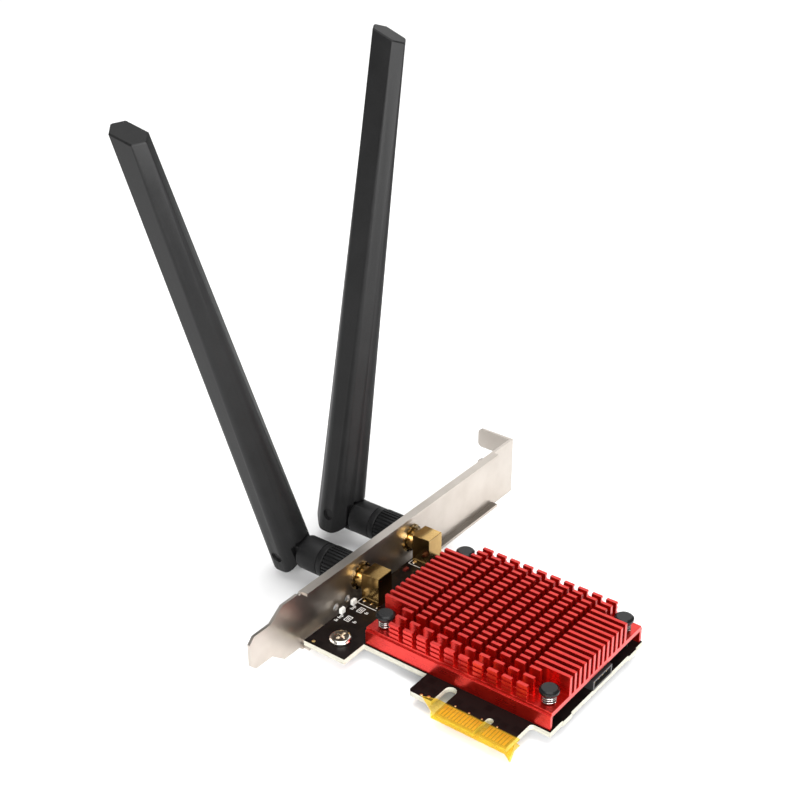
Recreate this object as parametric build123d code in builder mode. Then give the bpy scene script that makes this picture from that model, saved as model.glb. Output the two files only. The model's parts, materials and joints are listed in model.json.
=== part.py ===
"""Desktop wireless network card: board, finned heat sink, slot bracket and two folding aerials.

Frame in millimetres: X runs from the bracket to the card's far end, Y from the edge tongue to the card's
back, Z from the board's component face upwards. The origin is on the tongue's leading edge at its key.
"""
import os
from math import cos, radians, sin
from build123d import *

os.makedirs("parts", exist_ok=True)

# Fits shared by pieces that touch or pass through one another
running = 0.05
snug = 0.10
free = 0.30

# Circuit board outline
board_t = 1.57
board_left = -57.26
board_over = 0.41
board_front = 11.1
board_back = 56.23
wing_right = -43.54
wing_front = 2.9
hook_left = -23.04
hook_right = -15.9
hook_front = 3.2
tongue_left = -12.6
tongue_right = 8.6
slot_top = 10.85
key_w = 1.9
key_top = 6.8
corner_r = 1.1
tongue_bevel = 0.4
stub_w = 4.0
stub_reach = 0.35
stub_front = 18.6
stub_back = 50.6

# Gold contacts in two banks either side of the key
contact_pitch = 1.0
contact_w = 0.7
contact_len = 4.2
contact_t = 0.04
contact_top = 4.3
bank_left_count = 11
bank_right_count = 7
bank_gap = 1.5

# Amber film folded round the contacts
film_t = 0.1
film_back = 4.75
film_right = 10.2
film_fold_left = -14.6
film_tip_x = -18.5
film_tip_y = 3.5

# Heat sink: channel-shaped base, long fins, shorter outer rows, cross cuts and corner pockets
sink_len = 57.1
sink_cx = -14.78
sink_cy = 33.85
sink_w = 44.6
skirt_t = 1.0
skirt_top = 4.4
ledge_in = 0.45
base_top = 5.22
base_t = 1.5
fin_t = 1.0
fin_margin = 6.746
fin_count = 15
fin_top = 10.88
second_in = 3.85
second_top = 10.3
outer_top = 9.7
groove_pitch = 1.45
groove_h = 0.7
groove_d = 0.3
groove_count = 3
cut_w = 1.45
cut_pitch = 4.34
cut_count = 9
pocket_gap = 1.3

# Spring-loaded push pins
pin_inset_x = 3.4
pin_inset_y = 4.25
pin_shift_x = 0.26
pin_shift_y = -0.2
head_r = 2.6
head_under = 7.3
head_rim = 8.9
head_top = 9.35
neck_r = 2.0
shank_r = 1.15
barb_r = 1.9
barb_tip_r = 0.7
split_w = 0.5
pin_drop = 1.7
spring_r = 1.72
spring_wire = 0.46
spring_turns = 2.5

# Slot bracket
key_from_bracket = 59.05
bracket_t = 0.86
bracket_len = 120.02
bracket_w = 18.42
bracket_low = -4.74
bracket_end = 104.4
blade_w = 10.19
blade_low = 0.3
blade_shoulder = -7.5
blade_slope_y = 4.7
blade_nose = 1.8
plate_low = -3.45
flange_reach = 1.75
flange_front = 5.0
flange_back = 94.0
relief_r = 0.55
tab_reach = 11.43
lobe_h = 6.3
notch_w = 4.42
notch_depth = 5.4
tab_corner = 1.5
foot_w = 8.4
foot_reach = 13.2
foot_corner = 3.0
lamp_hole_r = 1.1
lamp_z = 0.75
lamp_front = 18.5
lamp_back = 23.45

# Bracket screw
screw_x = -49.49
screw_y = 8.71
screw_r = 1.45
screw_head_r = 3.05
screw_head_h = 1.5
screw_cross = 0.85
screw_cross_len = 3.6
screw_cross_d = 0.9

# Aerial jacks
jack_front = 29.2
jack_gap = 23.15
jack_z = 5.45
jack_block_x = -56.23
jack_block_len = 5.78
jack_block_w = 5.96
jack_block_h = 9.05
jack_thread_r = 3.1
jack_reach = 6.4
jack_socket_r = 2.3
jack_post = 1.1
jack_post_drop = 1.5
washer_t = 0.6
washer_r = 4.6
inner_washer_r = 4.1
tooth_count = 10
tooth_gap = 1.0
tooth_d = 0.55
nut_flats = 8.0
nut_t = 2.0

# Folding aerials
pivot_x = -84.7
coupling_len = 6.2
coupling_r = 5.05
rib_count = 30
rib_d = 0.4
rib_w = 0.45
stem_r = 2.0
collar_r = 2.7
collar_t = 1.0
barrel_r = 4.9
barrel_from_pivot = 6.2
barrel_round = 0.8
band_w = 2.0
band_groove = 0.25
knuckle_t = 5.0
knuckle_r = 4.3
hinge_pin_r = 1.25
recess_r = 1.75
recess_d = 0.55
pin_recess = 0.7
ear_r = 5.7
heel = 1.75
notch_x = 5.1
saddle_gap = 0.35
fold_stop_deg = 2.5
blade_len = 138.8
root_a = 19.2
root_b = 5.3
root_t = 12.0
root_round = 4.0
tip_a = 10.92
tip_b = 6.84
tip_t = 5.96
tip_round = 0.3
tip_bevel = 0.35
tip_slant_deg = 15.9
blade_wall = 1.1
cavity_low = 16.0
element_r = 1.3
element_len = 112.0
sleeve_r = 1.75
sleeve_len = 42.0
swivel_left_deg = 17.99
swivel_right_deg = -7.43
lean_left_deg = -1.74
lean_right_deg = 2.16

# Parts under the heat sink and the header at the far end
module_len = 30.0
module_w = 22.0
module_t = 0.8
shield_len = 26.0
shield_w = 18.0
shield_h = 1.6
pad_len = 20.0
pad_w = 15.0
header_y = 35.4
header_w = 9.2
header_h = 3.1
header_len = 5.0
header_wall = 0.6
header_pins_count = 4
header_pitch = 2.0
header_pin = 0.5
header_tail = 0.8
header_pin_z = 1.6
header_drop = 2.0
header_over = 0.2
lamp_len = 0.9
lamp_w = 1.6
chip_x = -55.1
chip_y = 44.8
chip_len = 1.0
chip_w = 1.7
chip_h = 0.6

# Positions that follow from the sizes above
board_right = sink_cx + sink_len / 2 + board_over
fin_pitch = (sink_w - 2 * fin_margin) / (fin_count - 1)
second_off = sink_w / 2 - second_in
bracket_x = -key_from_bracket
bracket_out = bracket_x - bracket_t
slot_w = tongue_left - hook_right
slot_x = (tongue_left + hook_right) / 2
pin_tip = -board_t - pin_drop
pin_cx = sink_cx + pin_shift_x
pin_cy = sink_cy + pin_shift_y
pin_span_x = sink_len - 2 * pin_inset_x
pin_span_y = sink_w - 2 * pin_inset_y
pocket_len = pin_inset_x + head_r + pocket_gap
jack_centre_y = jack_front + jack_gap / 2
washer_x = bracket_out - washer_t
nut_x = washer_x - nut_t
coupling_end = nut_x - free
coupling_x = coupling_end - coupling_len
jack_tip = bracket_out - jack_reach
slot_half = knuckle_t / 2 + snug
slot_roof = knuckle_r + 4 * free
base_under = base_top - base_t
foot_z = -board_t - bracket_t
end_a = tip_a - 2 * tip_bevel
end_b = tip_b - tip_bevel
end_t = tip_t - 2 * tip_bevel

# Circuit board with its hook, tongue, key notch and holes
with BuildPart() as circuit_board:
    with BuildSketch(Plane.XY.offset(-board_t)):
        with BuildLine():
            Polyline(
                (board_left, wing_front), (wing_right, wing_front), (wing_right, board_front),
                (hook_left, board_front), (hook_left, hook_front), (hook_right, hook_front),
                (hook_right, slot_top - slot_w / 2), (tongue_left, slot_top - slot_w / 2),
                (tongue_left, 0), (tongue_right, 0), (tongue_right, board_front),
                (board_right, board_front), (board_right, board_back), (board_left, board_back),
                close=True,
            )
        make_face()
        with Locations((slot_x, slot_top - slot_w / 2)):
            Circle(slot_w / 2, mode=Mode.SUBTRACT)
        Rectangle(key_w, key_top - key_w / 2, align=(Align.CENTER, Align.MIN), mode=Mode.SUBTRACT)
        with Locations((0, key_top - key_w / 2)):
            Circle(key_w / 2, mode=Mode.SUBTRACT)
        with Locations((board_right, stub_front), (board_right, stub_back)):
            Rectangle(stub_reach, stub_w, align=(Align.MIN, Align.CENTER))
    extrude(amount=board_t)
    fillet(circuit_board.edges().filter_by(Axis.Z).filter_by_position(Axis.X, hook_left, hook_left)
           .filter_by_position(Axis.Y, hook_front, hook_front), corner_r)
    fillet(circuit_board.edges().filter_by(Axis.Z).filter_by_position(Axis.X, tongue_right, tongue_right)
           .filter_by_position(Axis.Y, board_front, board_front), corner_r)
    chamfer(circuit_board.edges().filter_by(Axis.X).group_by(Axis.Y)[0], tongue_bevel)
    with Locations((pin_cx, pin_cy)):
        with GridLocations(pin_span_x, pin_span_y, 2, 2):
            Hole(shank_r + free)
    with Locations((screw_x, screw_y)):
        Hole(screw_r + free)
    with Locations((jack_block_x + jack_block_len / 2, jack_centre_y)):
        with GridLocations(0, jack_gap, 1, 2):
            with GridLocations(jack_block_len - jack_post, jack_block_w - jack_post, 2, 2):
                Hole(jack_post / 2 + snug)
    with Locations((board_right + header_over - header_len - header_tail, header_y)):
        with GridLocations(0, header_pitch, 1, header_pins_count):
            Hole(header_pin * 0.71 + snug)
circuit_board.part.label = "circuit_board"

# Contact pads on both faces of the tongue
with BuildPart() as edge_contacts:
    for face in (Plane.XY, Plane.XY.offset(-board_t - contact_t)):
        with BuildSketch(face):
            for step in range(bank_left_count):
                with Locations((-bank_gap - step * contact_pitch, contact_top)):
                    Rectangle(contact_w, contact_len - tongue_bevel, align=(Align.CENTER, Align.MAX))
            for step in range(bank_right_count):
                with Locations((bank_gap + step * contact_pitch, contact_top)):
                    Rectangle(contact_w, contact_len - tongue_bevel, align=(Align.CENTER, Align.MAX))
        extrude(amount=contact_t)
edge_contacts.part.label = "edge_contacts"

# Film folded round the tongue's leading edge with a pointed flap towards the hook
film_low = -board_t - contact_t - film_t
with BuildPart() as contact_film:
    with BuildSketch(Plane.XY.offset(contact_t)):
        with BuildLine():
            Polyline(
                (film_right, -film_t), (film_right, film_back), (tongue_left, film_back),
                (film_tip_x, film_tip_y), (film_fold_left, -film_t), close=True,
            )
        make_face()
    extrude(amount=film_t)
    with BuildSketch(Plane.XY.offset(film_low)):
        with Locations((film_fold_left, -film_t)):
            Rectangle(film_right - film_fold_left, film_back + film_t, align=(Align.MIN, Align.MIN))
    extrude(amount=film_t)
    with BuildSketch(Plane.XY.offset(film_low)):
        with Locations((film_fold_left, -film_t)):
            Rectangle(film_right - film_fold_left, film_t, align=(Align.MIN, Align.MIN))
    extrude(amount=contact_t - film_low + film_t)
contact_film.part.label = "contact_film"

# Heat sink profile drawn across the card and drawn out along it
with BuildPart() as heat_sink:
    with BuildSketch(Plane.YZ.offset(sink_cx - sink_len / 2)):
        with Locations((sink_cy, 0)):
            Rectangle(sink_w, skirt_top, align=(Align.CENTER, Align.MIN))
            Rectangle(sink_w - 2 * ledge_in, base_top, align=(Align.CENTER, Align.MIN))
            Rectangle(sink_w - 2 * skirt_t, base_under, align=(Align.CENTER, Align.MIN), mode=Mode.SUBTRACT)
        with Locations((sink_cy, base_top)):
            with GridLocations(fin_pitch, 0, fin_count, 1):
                Rectangle(fin_t, fin_top - base_top, align=(Align.CENTER, Align.MIN))
        with Locations((sink_cy - second_off, base_top), (sink_cy + second_off, base_top)):
            Rectangle(fin_t, second_top - base_top, align=(Align.CENTER, Align.MIN))
        with Locations((sink_cy - sink_w / 2 + ledge_in, base_top)):
            Rectangle(fin_t, outer_top - base_top, align=(Align.MIN, Align.MIN))
        with Locations((sink_cy + sink_w / 2 - ledge_in, base_top)):
            Rectangle(fin_t, outer_top - base_top, align=(Align.MAX, Align.MIN))
        for level in range(groove_count):
            groove_z = outer_top - groove_pitch * (level + 1) + groove_h
            with Locations((sink_cy - sink_w / 2 + ledge_in, groove_z)):
                Rectangle(groove_d, groove_h, align=(Align.MIN, Align.MAX), mode=Mode.SUBTRACT)
            with Locations((sink_cy + sink_w / 2 - ledge_in, groove_z)):
                Rectangle(groove_d, groove_h, align=(Align.MAX, Align.MAX), mode=Mode.SUBTRACT)
    extrude(amount=sink_len)
    # Cross cuts between the teeth and open pockets round the push pins
    with BuildSketch(Plane.XY.offset(base_top)):
        with Locations((sink_cx, sink_cy)):
            with GridLocations(cut_pitch, 0, cut_count, 1):
                Rectangle(cut_w, sink_w)
        pocket_y = fin_pitch * (fin_count / 2 - 1)
        for end in (-1, 1):
            for side in (-1, 1):
                with Locations((sink_cx + end * sink_len / 2, sink_cy + side * sink_w / 2)):
                    Rectangle(2 * pocket_len, 2 * (sink_w / 2 - pocket_y))
    extrude(amount=fin_top - base_top, mode=Mode.SUBTRACT)
    with Locations((pin_cx, pin_cy, base_top)):
        with GridLocations(pin_span_x, pin_span_y, 2, 2):
            Hole(shank_r + free, depth=base_t + free)
heat_sink.part.label = "heat_sink"

# Wireless module with its shield can, and the pad that presses against the heat sink
with BuildPart() as wifi_module:
    with BuildSketch():
        with Locations((sink_cx, sink_cy)):
            RectangleRounded(module_len, module_w, corner_r)
    extrude(amount=module_t)
wifi_module.part.label = "wifi_module"
with BuildPart() as module_shield:
    with BuildSketch(Plane.XY.offset(module_t)):
        with Locations((sink_cx, sink_cy)):
            RectangleRounded(shield_len, shield_w, corner_r)
    extrude(amount=shield_h)
    fillet(module_shield.faces().sort_by(Axis.Z)[-1].edges(), free)
module_shield.part.label = "module_shield"
with BuildPart() as thermal_pad:
    with BuildSketch(Plane.XY.offset(module_t + shield_h)):
        with Locations((sink_cx, sink_cy)):
            Rectangle(pad_len, pad_w)
    extrude(amount=base_under - module_t - shield_h)
thermal_pad.part.label = "thermal_pad"

# Shrouded header lying on the board and open at the card's far end
header_x = board_right + header_over
with BuildPart() as header_housing:
    with BuildSketch(Plane.YZ.offset(header_x)):
        with Locations((header_y, 0)):
            Rectangle(header_w, header_h, align=(Align.CENTER, Align.MIN))
    extrude(amount=-header_len)
    with BuildSketch(Plane.YZ.offset(header_x)):
        with Locations((header_y, header_wall)):
            Rectangle(header_w - 2 * header_wall, header_h - 2 * header_wall,
                      align=(Align.CENTER, Align.MIN))
    extrude(amount=-header_len + 2 * header_wall, mode=Mode.SUBTRACT)
    with BuildSketch(Plane.YZ.offset(header_x)):
        with Locations((header_y, header_pin_z)):
            with GridLocations(header_pitch, 0, header_pins_count, 1):
                Rectangle(header_pin + snug, header_pin + snug)
    extrude(amount=-header_len, mode=Mode.SUBTRACT)
header_housing.part.label = "header_housing"
with BuildPart() as header_pins:
    with BuildSketch(Plane.YZ.offset(header_x - header_wall)):
        with Locations((header_y, header_pin_z)):
            with GridLocations(header_pitch, 0, header_pins_count, 1):
                Rectangle(header_pin, header_pin)
    extrude(amount=header_wall - header_len - header_tail - header_pin / 2)
    with BuildSketch(Plane.XY.offset(header_pin_z + header_pin / 2)):
        with Locations((header_x - header_len - header_tail, header_y)):
            with GridLocations(0, header_pitch, 1, header_pins_count):
                Rectangle(header_pin, header_pin)
    extrude(amount=-header_pin_z - header_pin / 2 - board_t - header_drop)
header_pins.part.label = "header_pins"

# Bracket plate with a narrowed lower end, side flanges, screw tab and board foot
bracket_front = bracket_end - bracket_len
bracket_top = bracket_low + bracket_w
blade_top = blade_low + blade_w
relief_y = flange_front - 2 * relief_r
with BuildPart() as bracket:
    with BuildSketch(Plane.YZ.offset(bracket_out)):
        with BuildLine():
            Polyline(
                (bracket_front, blade_low + blade_nose), (bracket_front + blade_nose, blade_low),
                (blade_shoulder, blade_low), (blade_shoulder + blade_slope_y, plate_low),
                (relief_y, plate_low), (relief_y, bracket_low),
                (bracket_end, bracket_low), (bracket_end, bracket_top),
                (blade_shoulder + blade_slope_y, bracket_top), (blade_shoulder, blade_top),
                (bracket_front + blade_nose, blade_top), (bracket_front, blade_top - blade_nose),
                close=True,
            )
        make_face()
        with Locations((relief_y, bracket_top), (relief_y, bracket_low)):
            Circle(relief_r, mode=Mode.SUBTRACT)
        with Locations((jack_front, jack_z), (jack_front + jack_gap, jack_z)):
            Circle(jack_thread_r + snug, mode=Mode.SUBTRACT)
        with Locations((lamp_front, lamp_z), (lamp_back, lamp_z)):
            Circle(lamp_hole_r, mode=Mode.SUBTRACT)
    extrude(amount=bracket_t)
    # Side flanges
    for flange_z in (bracket_low, bracket_top - bracket_t):
        with BuildSketch(Plane.XY.offset(flange_z)):
            with Locations((bracket_x - bracket_t / 2, flange_front)):
                Rectangle(flange_reach + bracket_t / 2, flange_back - flange_front,
                          align=(Align.MIN, Align.MIN))
        extrude(amount=bracket_t)
    # Screw tab with its open notch
    with BuildSketch(Plane.XZ.offset(-bracket_end)):
        with Locations((bracket_out - tab_reach, bracket_low)):
            Rectangle(tab_reach + bracket_t, bracket_w, align=(Align.MIN, Align.MIN))
        with Locations((bracket_out - tab_reach, bracket_top - lobe_h - notch_w / 2)):
            Rectangle(2 * notch_depth, notch_w, mode=Mode.SUBTRACT)
        with Locations((bracket_out - tab_reach + notch_depth, bracket_top - lobe_h - notch_w / 2)):
            Circle(notch_w / 2, mode=Mode.SUBTRACT)
    extrude(amount=bracket_t)
    fillet(bracket.edges().filter_by(Axis.Y).group_by(Axis.X)[0], tab_corner)
    # Foot under the board
    with BuildSketch(Plane.XY.offset(foot_z)):
        with Locations((bracket_x - bracket_t / 2, screw_y)):
            Rectangle(foot_reach + bracket_t / 2, foot_w, align=(Align.MIN, Align.CENTER))
    extrude(amount=bracket_t)
    fillet(bracket.edges().filter_by(Axis.Z).group_by(Axis.X)[-1], foot_corner)
    with Locations((screw_x, screw_y, -board_t)):
        Hole(screw_r, depth=bracket_t)
bracket.part.label = "bracket"

# Pan-head screw with a cross recess
with BuildPart() as bracket_screw:
    with BuildSketch():
        with Locations((screw_x, screw_y)):
            Circle(screw_head_r)
    extrude(amount=screw_head_h)
    fillet(bracket_screw.faces().sort_by(Axis.Z)[-1].edges(), screw_head_h * 0.55)
    with BuildSketch():
        with Locations((screw_x, screw_y)):
            Circle(screw_r)
    extrude(amount=-board_t - bracket_t - 2 * free)
    with BuildSketch(Plane.XY.offset(screw_head_h)):
        with Locations((screw_x, screw_y)):
            Rectangle(screw_cross, screw_cross_len)
            Rectangle(screw_cross_len, screw_cross)
    extrude(amount=-screw_cross_d, mode=Mode.SUBTRACT)
bracket_screw.part.label = "bracket_screw"

# Right-angle jack: square block, four posts through the board and a threaded barrel through the bracket
with BuildPart() as jack_left:
    with BuildSketch():
        with Locations((jack_block_x, jack_front)):
            Rectangle(jack_block_len, jack_block_w, align=(Align.MIN, Align.CENTER))
    extrude(amount=jack_block_h)
    chamfer(jack_left.faces().sort_by(Axis.Z)[-1].edges(), snug)
    with BuildSketch(Plane.YZ.offset(jack_block_x)):
        with Locations((jack_front, jack_z)):
            Circle(jack_thread_r)
    extrude(amount=jack_tip - jack_block_x)
    with BuildSketch(Plane.YZ.offset(jack_tip)):
        with Locations((jack_front, jack_z)):
            Circle(jack_socket_r)
    extrude(amount=jack_socket_r, mode=Mode.SUBTRACT)
    with BuildSketch():
        with Locations((jack_block_x + jack_block_len / 2, jack_front)):
            with GridLocations(jack_block_len - jack_post, jack_block_w - jack_post, 2, 2):
                Circle(jack_post / 2)
    extrude(amount=-board_t - jack_post_drop)
jack_left.part.label = "jack_left"
jack_right = Pos(0, jack_gap, 0) * jack_left.part
jack_right.label = "jack_right"

# Plain and toothed washers either side of the bracket, and the hex nuts that hold the jacks
with BuildPart() as jack_washers:
    with BuildSketch(Plane.YZ.offset(bracket_x)):
        with Locations((jack_front, jack_z), (jack_front + jack_gap, jack_z)):
            Circle(inner_washer_r)
            with PolarLocations(inner_washer_r, tooth_count):
                Rectangle(2 * tooth_d, tooth_gap, mode=Mode.SUBTRACT)
            Circle(jack_thread_r + snug, mode=Mode.SUBTRACT)
    extrude(amount=washer_t)
    with BuildSketch(Plane.YZ.offset(washer_x)):
        with Locations((jack_front, jack_z), (jack_front + jack_gap, jack_z)):
            Circle(washer_r)
            Circle(jack_thread_r + snug, mode=Mode.SUBTRACT)
    extrude(amount=washer_t)
jack_washers.part.label = "jack_washers"
with BuildPart() as jack_nuts:
    with BuildSketch(Plane.YZ.offset(nut_x)):
        with Locations((jack_front, jack_z), (jack_front + jack_gap, jack_z)):
            RegularPolygon(nut_flats / 2, 6, major_radius=False)
            Circle(jack_thread_r + snug, mode=Mode.SUBTRACT)
    extrude(amount=nut_t)
jack_nuts.part.label = "jack_nuts"

# Status lamps behind the bracket's small holes and a chip part beside the jacks
with BuildPart() as status_lamps:
    with BuildSketch():
        with Locations((board_left, lamp_front), (board_left, lamp_back)):
            Rectangle(lamp_len, lamp_w, align=(Align.MIN, Align.CENTER))
    extrude(amount=2 * lamp_z)
status_lamps.part.label = "status_lamps"
with BuildPart() as chip_part:
    with BuildSketch():
        with Locations((chip_x, chip_y)):
            Rectangle(chip_len, chip_w)
    extrude(amount=chip_h)
chip_part.part.label = "chip_part"

# Push pin turned about its own axis, then split at the tip
with BuildPart() as push_pin:
    with BuildSketch(Plane.XZ):
        with BuildLine():
            Polyline(
                (0, pin_tip), (barb_tip_r, pin_tip), (barb_r, -board_t - snug - barb_tip_r),
                (barb_r, -board_t - snug), (shank_r, -board_t - snug), (shank_r, head_under),
                (neck_r, head_under), (head_r, head_rim - 2 * free), (head_r, head_rim),
                (neck_r, head_top), (0, head_top), close=True,
            )
        make_face()
    revolve(axis=Axis.Z)
    with BuildSketch(Plane.XZ):
        with Locations((0, pin_tip)):
            Rectangle(split_w, base_under - pin_tip, align=(Align.CENTER, Align.MIN))
    extrude(amount=head_r, both=True, mode=Mode.SUBTRACT)

# Coil spring between the heat sink's base and the pin's head
spring_low = base_top + spring_wire / 2
spring_rise = head_under - base_top - spring_wire
with BuildPart() as pin_spring:
    with BuildLine():
        coil = Helix(spring_rise / spring_turns, spring_rise, spring_r, center=(0, 0, spring_low))
    with BuildSketch(Plane(origin=coil @ 0, z_dir=coil % 0)):
        RegularPolygon(spring_wire / 2, 6)
    sweep(path=coil)

# Ribbed coupling nut about the jack's axis
with BuildPart() as coupling:
    with BuildSketch(Plane.YZ.offset(coupling_x - pivot_x)):
        Circle(coupling_r)
        with PolarLocations(coupling_r, rib_count):
            Rectangle(2 * rib_d, rib_w, mode=Mode.SUBTRACT)
    extrude(amount=coupling_len)
    with BuildSketch(Plane.YZ.offset(coupling_end - pivot_x)):
        Circle(jack_thread_r + free)
    extrude(amount=collar_t - coupling_len, mode=Mode.SUBTRACT)
    with BuildSketch(Plane.YZ.offset(coupling_x - pivot_x)):
        Circle(stem_r + free)
    extrude(amount=collar_t, mode=Mode.SUBTRACT)

# Hinge base: barrel, stem held in the coupling nut, and the knuckle round the hinge pin
barrel_end = coupling_x - free - pivot_x
with BuildPart() as hinge_base:
    with BuildSketch(Plane.YZ.offset(barrel_from_pivot)):
        Circle(barrel_r)
    extrude(amount=barrel_end - barrel_from_pivot)
    fillet(hinge_base.edges().group_by(Axis.X)[0], barrel_round)
    fillet(hinge_base.edges().group_by(Axis.X)[-1], free)
    with BuildSketch(Plane.YZ.offset(barrel_end - band_w)):
        Circle(barrel_r + free)
        Circle(barrel_r - band_groove, mode=Mode.SUBTRACT)
    extrude(amount=band_groove, mode=Mode.SUBTRACT)
    with BuildSketch(Plane.YZ.offset(barrel_from_pivot)):
        Circle(stem_r)
    extrude(amount=coupling_x + collar_t + free - pivot_x - barrel_from_pivot)
    with BuildSketch(Plane.YZ.offset(coupling_x + collar_t + free - pivot_x)):
        Circle(collar_r)
    extrude(amount=collar_t)
    with BuildSketch(Plane.XZ.offset(-knuckle_t / 2)):
        Circle(knuckle_r)
        Rectangle(barrel_from_pivot + barrel_round, 2 * knuckle_r, align=(Align.MIN, Align.CENTER))
    extrude(amount=knuckle_t)
    with BuildSketch(Plane.XZ):
        Circle(hinge_pin_r + running)
    extrude(amount=knuckle_t, both=True, mode=Mode.SUBTRACT)

# Hinge pin through both ears
with BuildPart() as hinge_pin:
    with BuildSketch(Plane.XZ):
        Circle(hinge_pin_r)
    extrude(amount=root_t / 2 - pin_recess, both=True)

# Blade: round at its root, six-sided at its slanted tip
slant = radians(tip_slant_deg)
tip_plane = Plane((0, 0, blade_len), x_dir=(cos(slant), 0, -sin(slant)), z_dir=(sin(slant), 0, cos(slant)))
with BuildPart() as blade:
    with BuildSketch(Plane.XY.offset(-ear_r)) as root_section:
        Polygon((root_a / 2, 0), (root_b / 2, root_t / 2), (-root_b / 2, root_t / 2),
                (-root_a / 2, 0), (-root_b / 2, -root_t / 2), (root_b / 2, -root_t / 2), align=None)
        fillet(root_section.vertices(), root_round)
    with BuildSketch(tip_plane.offset(-tip_bevel)) as tip_section:
        Polygon((tip_a / 2, 0), (tip_b / 2, tip_t / 2), (-tip_b / 2, tip_t / 2),
                (-tip_a / 2, 0), (-tip_b / 2, -tip_t / 2), (tip_b / 2, -tip_t / 2), align=None)
        fillet(tip_section.vertices(), tip_round)
    with BuildSketch(tip_plane) as end_section:
        Polygon((end_a / 2, 0), (end_b / 2, end_t / 2), (-end_b / 2, end_t / 2),
                (-end_a / 2, 0), (-end_b / 2, -end_t / 2), (end_b / 2, -end_t / 2), align=None)
        fillet(end_section.vertices(), tip_round)
    loft(ruled=True)
    # Rounded lower end of the ears
    with BuildSketch(Plane.XZ):
        Rectangle(2 * root_a, ear_r + free, align=(Align.CENTER, Align.MAX))
        Circle(ear_r, mode=Mode.SUBTRACT)
        with Locations((-heel, 0)):
            Circle(ear_r, mode=Mode.SUBTRACT)
            Rectangle(heel, ear_r, align=(Align.MIN, Align.MAX), mode=Mode.SUBTRACT)
    extrude(amount=root_t, both=True, mode=Mode.SUBTRACT)
    # Hollow that takes the barrel when the blade stands up
    with BuildSketch(Plane.XZ):
        with Locations((notch_x, 0)):
            Rectangle(root_a, 2 * ear_r, align=(Align.MIN, Align.MAX))
    extrude(amount=root_t, both=True, mode=Mode.SUBTRACT)
    barrel_way = (cos(radians(fold_stop_deg)), 0, sin(radians(fold_stop_deg)))
    with BuildSketch(Plane((0, 0, 0), z_dir=barrel_way).offset(notch_x)):
        Circle(barrel_r + saddle_gap)
    extrude(amount=root_a, mode=Mode.SUBTRACT)
    # Slot for the knuckle, and hole with sunk ends for the pin
    with BuildSketch(Plane.YZ.offset(-knuckle_r - free)):
        with Locations((0, -ear_r)):
            Rectangle(2 * slot_half, ear_r + slot_roof, align=(Align.CENTER, Align.MIN))
    extrude(amount=root_a, mode=Mode.SUBTRACT)
    with BuildSketch(Plane.XZ):
        Circle(hinge_pin_r)
    extrude(amount=root_t, both=True, mode=Mode.SUBTRACT)
    for side in (-1, 1):
        with BuildSketch(Plane.XZ.offset(side * (root_t / 2 - recess_d))):
            Circle(recess_r)
        extrude(amount=side * root_t, mode=Mode.SUBTRACT)
    # Space inside for the radiating element
    with BuildSketch(Plane.XY.offset(cavity_low)):
        Rectangle(tip_t - 2 * blade_wall, tip_t - 2 * blade_wall)
    extrude(amount=element_len + 2 * collar_t, mode=Mode.SUBTRACT)

# Radiating element standing on the floor of the blade's inner space
with BuildPart() as element:
    with BuildSketch(Plane.XY.offset(cavity_low)):
        Circle(sleeve_r)
    extrude(amount=sleeve_len)
    with BuildSketch(Plane.XY.offset(cavity_low + sleeve_len)):
        Circle(element_r)
    extrude(amount=element_len - sleeve_len)

for solid in (circuit_board, edge_contacts, contact_film, heat_sink, wifi_module, module_shield, thermal_pad,
              header_housing, header_pins, bracket, bracket_screw, jack_left, jack_washers, jack_nuts,
              status_lamps, chip_part):
    export_step(solid.part, f"parts/{solid.part.label}.step")
export_step(jack_right, "parts/jack_right.step")

# Four pins and springs at the corners of the heat sink
for end, word_x in ((-0.5, "near"), (0.5, "far")):
    for side, word_y in ((-0.5, "front"), (0.5, "back")):
        place = Pos(pin_cx + end * pin_span_x, pin_cy + side * pin_span_y, 0)
        for name, piece in (("push_pin", push_pin), ("pin_spring", pin_spring)):
            copy = place * piece.part
            copy.label = f"{name}_{word_x}_{word_y}"
            export_step(copy, f"parts/{copy.label}.step")

# Two aerials, each turned on its jack and standing nearly upright
for word, jack_y, swivel_deg, lean_deg in (
        ("left", jack_front, swivel_left_deg, lean_left_deg),
        ("right", jack_front + jack_gap, swivel_right_deg, lean_right_deg)):
    turned = Pos(pivot_x, jack_y, jack_z) * Rot(swivel_deg, 0, 0)
    folded = turned * Rot(0, lean_deg, 0)
    for name, piece, place in (("coupling_nut", coupling, turned), ("hinge_base", hinge_base, turned),
                               ("hinge_pin", hinge_pin, folded), ("blade", blade, folded),
                               ("radiator", element, folded)):
        copy = place * piece.part
        copy.label = f"{name}_{word}"
        export_step(copy, f"parts/{copy.label}.step")
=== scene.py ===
"""Looks of the wireless network card: finishes, fine fittings and a plain studio.

Everything is in metres in the card's own frame. Sizes in the classes are in millimetres, as on a drawing,
and MM turns them into metres when a mesh is made.
"""
import json
import logging
import math
from dataclasses import dataclass
from enum import Enum
from typing import Any, Sequence

import bpy
import numpy as np
from mathutils import Matrix, Vector


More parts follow.
